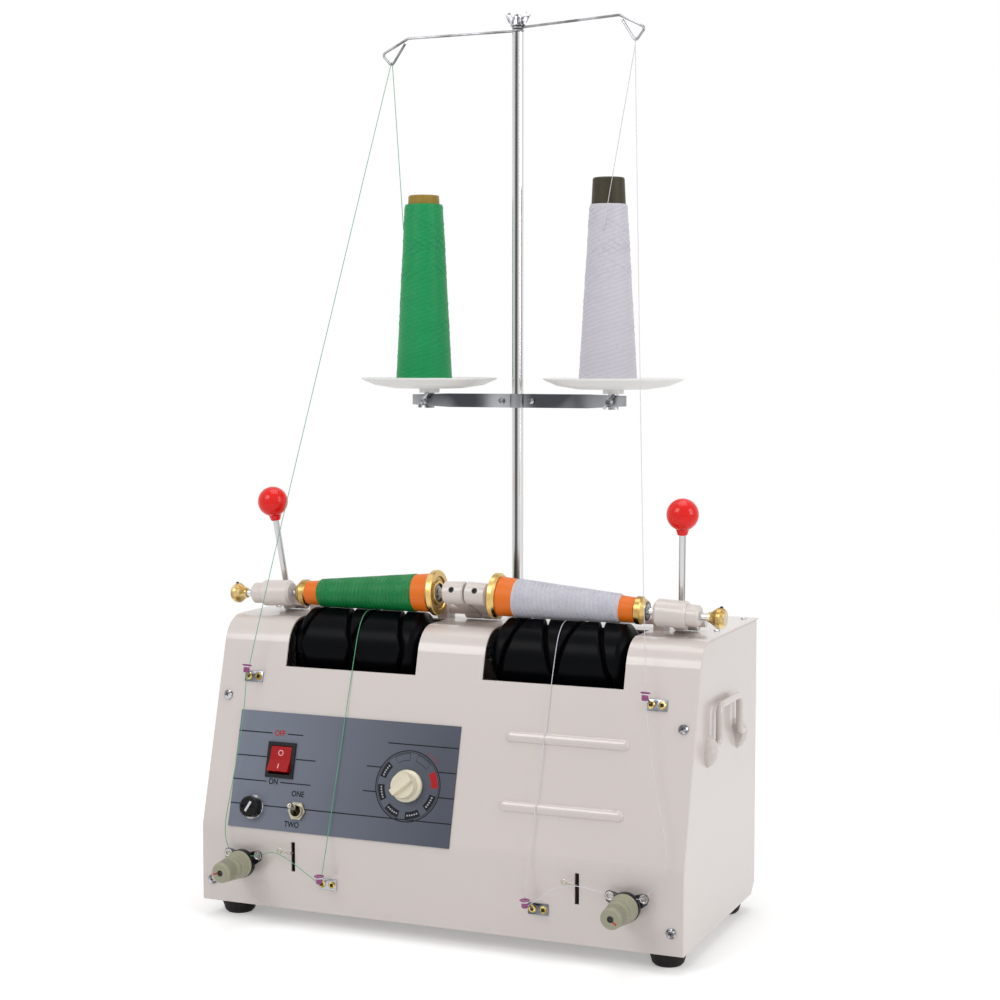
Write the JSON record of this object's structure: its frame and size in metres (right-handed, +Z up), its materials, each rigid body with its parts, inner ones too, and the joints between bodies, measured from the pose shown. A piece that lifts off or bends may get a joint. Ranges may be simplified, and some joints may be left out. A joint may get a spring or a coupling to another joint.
{
  "type": "yarn cone winder",
  "caption": "Bench cone winder: sheet-metal body with grooved drive drums, swinging winding heads, thread tensions, and a stand with supply cones.",
  "frame": {"origin": "on the floor under the middle of the machine's bounding box, threads left out", "axes": "+Z up, +X to the viewer's right when facing the sloped front, -Y towards the viewer"},
  "size_m": [0.4412, 0.2917, 0.7625],
  "materials": {
    "cover_paint": "gloss enamel with slight orange peel",
    "cradle_paint": "enamelled casting",
    "rubber": "matt moulded rubber",
    "screw_chrome": "bright plated",
    "chrome": "bright plated",
    "steel": "ground steel",
    "aluminium": "turned",
    "black_plastic": "moulded",
    "faceplate_print": "printed satin plate",
    "rocker_lens": "translucent red lens",
    "switch_metal": "plated",
    "ivory_plastic": "moulded",
    "drum_black": "moulded phenolic, satin",
    "belt_rubber": "ribbed rubber",
    "motor_paint": "black enamel",
    "bracket_zinc": "zinc plated sheet",
    "tray_white": "moulded",
    "cone_plastic": "moulded",
    "thread_green": "spun polyester thread",
    "thread_white": "spun polyester thread",
    "guide_zinc": "zinc plated, brass eyelets",
    "tension_plastic": "moulded",
    "ball_red": "moulded ball",
    "brass": "turned",
    "cone_orange": "moulded"
  },
  "bodies": {
    "base": {"front_cover": "cover_paint", "side_panels": "cover_paint", "back_panel": "cover_paint", "base_tray": "cover_paint", "feet": "rubber", "cover_screws": "screw_chrome", "cord_gland": "black_plastic", "faceplate": "faceplate_print", "rocker_housing": "black_plastic", "panel_fittings": "switch_metal", "drive_belt": "belt_rubber", "motor": "motor_paint", "inner_brackets": "bracket_zinc", "pillow_blocks": "cradle_paint", "stand_rod": "chrome", "stand_bar": "chrome", "stand_fasteners": "chrome", "trays": "tray_white", "tray_posts": "steel", "supply_tubes": "cone_plastic", "supply_thread_left": "thread_green", "supply_thread_right": "thread_white", "eyelet_wires": "chrome", "thread_guides": "guide_zinc", "tension_plates": "guide_zinc", "tension_housings": "tension_plastic", "thread_left": "thread_green", "thread_right": "thread_white"},
    "drum_shaft_assembly": {"drum_left": "drum_black", "drum_right": "drum_black", "drum_shaft": "steel", "driven_pulley": "aluminium"},
    "motor_rotor": {"motor_pulley": "steel"},
    "rocker": {"rocker_button": "rocker_lens"},
    "toggle": {"toggle_lever": "switch_metal"},
    "speed_dial": {"speed_knob": "ivory_plastic"},
    "cradle_left_arm": {"cradle_left": "cradle_paint", "lever_rod_left": "chrome", "lever_ball_left": "ball_red"},
    "package_left": {"live_flange_left": "brass", "yarn_cone_left": "cone_orange", "wound_thread_left": "thread_green"},
    "spindle_left_slide": {"spindle_left": "steel", "spindle_knob_left": "brass"},
    "centre_left": {"small_centre_left": "brass"},
    "tension_left": {"tension_knob_left": "tension_plastic"},
    "dropper_left": {"drop_wire_left": "steel"},
    "bail_left": {"handle_left": "cover_paint"},
    "cradle_right_arm": {"cradle_right": "cradle_paint", "lever_rod_right": "chrome", "lever_ball_right": "ball_red"},
    "package_right": {"live_flange_right": "brass", "yarn_cone_right": "cone_orange", "wound_thread_right": "thread_white"},
    "spindle_right_slide": {"spindle_right": "steel", "spindle_knob_right": "brass"},
    "centre_right": {"small_centre_right": "brass"},
    "tension_right": {"tension_knob_right": "tension_plastic"},
    "dropper_right": {"drop_wire_right": "steel"},
    "bail_right": {"handle_right": "cover_paint"}
  },
  "joints": [
    {"name": "drum_spin", "type": "hinge", "parent": "base", "child": "drum_shaft_assembly", "pos_m": [0, -0.02885, 0.226], "axis": [1, 0, 0], "continuous": true},
    {"name": "motor_spin", "type": "hinge", "parent": "base", "child": "motor_rotor", "pos_m": [0, 0.02865, 0.076], "axis": [1, 0, 0], "continuous": true},
    {"name": "rocker_tilt", "type": "hinge", "parent": "base", "child": "rocker", "pos_m": [-0.1426, -0.08433, 0.1338], "axis": [1, 0, 0], "range_deg": [0, 16]},
    {"name": "toggle_tilt", "type": "hinge", "parent": "base", "child": "toggle", "pos_m": [-0.122, -0.09664, 0.09558], "axis": [1, 0, 0], "range_deg": [0, 28]},
    {"name": "speed_dial_turn", "type": "hinge", "parent": "base", "child": "speed_dial", "pos_m": [-0.0252, -0.08926, 0.12311], "axis": [0, -0.9659, 0.2588], "range_deg": [-135, 135]},
    {"name": "cradle_lift_left", "type": "hinge", "parent": "base", "child": "cradle_left_arm", "pos_m": [0, 0.00665, 0.2555], "axis": [-1, 0, 0], "range_deg": [0, 55]},
    {"name": "package_spin_left", "type": "hinge", "parent": "cradle_left_arm", "child": "package_left", "pos_m": [0, -0.02885, 0.2743], "axis": [0.9989, 0, 0.0466], "continuous": true},
    {"name": "spindle_pull_left", "type": "slide", "parent": "cradle_left_arm", "child": "spindle_left_slide", "axis": [-0.9989, 0, -0.0466], "range_m": [0, 0.0055], "stiffness_N_per_m": 300, "springref_m": -0.01},
    {"name": "centre_spin_left", "type": "hinge", "parent": "spindle_left_slide", "child": "centre_left", "pos_m": [0, -0.02885, 0.2743], "axis": [0.9989, 0, 0.0466], "continuous": true},
    {"name": "tension_turn_left", "type": "hinge", "parent": "base", "child": "tension_left", "pos_m": [-0.1672, -0.10135, 0.051], "axis": [0, -1, 0], "range_deg": [-180, 180]},
    {"name": "drop_wire_swing_left", "type": "hinge", "parent": "base", "child": "dropper_left", "pos_m": [-0.1243, -0.07135, 0.058], "axis": [1, 0, 0], "range_deg": [0, 22], "stiffness_Nm_per_rad": 0.002, "springref_deg": -17.19},
    {"name": "handle_swing_left", "type": "hinge", "parent": "base", "child": "bail_left", "pos_m": [-0.2155, 0.00165, 0.164], "axis": [0, -1, 0], "range_deg": [0, 170]},
    {"name": "cradle_lift_right", "type": "hinge", "parent": "base", "child": "cradle_right_arm", "pos_m": [0, 0.00665, 0.2555], "axis": [-1, 0, 0], "range_deg": [0, 55]},
    {"name": "package_spin_right", "type": "hinge", "parent": "cradle_right_arm", "child": "package_right", "pos_m": [0, -0.02885, 0.2743], "axis": [0.9989, 0, -0.0466], "continuous": true},
    {"name": "spindle_pull_right", "type": "slide", "parent": "cradle_right_arm", "child": "spindle_right_slide", "axis": [0.9989, 0, -0.0466], "range_m": [0, 0.0055], "stiffness_N_per_m": 300, "springref_m": -0.01},
    {"name": "centre_spin_right", "type": "hinge", "parent": "spindle_right_slide", "child": "centre_right", "pos_m": [0, -0.02885, 0.2743], "axis": [0.9989, 0, -0.0466], "continuous": true},
    {"name": "tension_turn_right", "type": "hinge", "parent": "base", "child": "tension_right", "pos_m": [0.1672, -0.10135, 0.051], "axis": [0, -1, 0], "range_deg": [-180, 180]},
    {"name": "drop_wire_swing_right", "type": "hinge", "parent": "base", "child": "dropper_right", "pos_m": [0.1243, -0.07135, 0.058], "axis": [1, 0, 0], "range_deg": [0, 22], "stiffness_Nm_per_rad": 0.002, "springref_deg": -17.19},
    {"name": "handle_swing_right", "type": "hinge", "parent": "base", "child": "bail_right", "pos_m": [0.2155, 0.00165, 0.164], "axis": [0, 1, 0], "range_deg": [0, 170]}
  ],
  "couplings": [
    {"joint": "motor_spin", "follows": "drum_spin", "ratio": 1.4167},
    {"joint": "package_spin_left", "follows": "drum_spin", "ratio": -2.1866},
    {"joint": "centre_spin_left", "follows": "drum_spin", "ratio": -2.1866},
    {"joint": "package_spin_right", "follows": "drum_spin", "ratio": -2.1866},
    {"joint": "centre_spin_right", "follows": "drum_spin", "ratio": -2.1866}
  ]
}
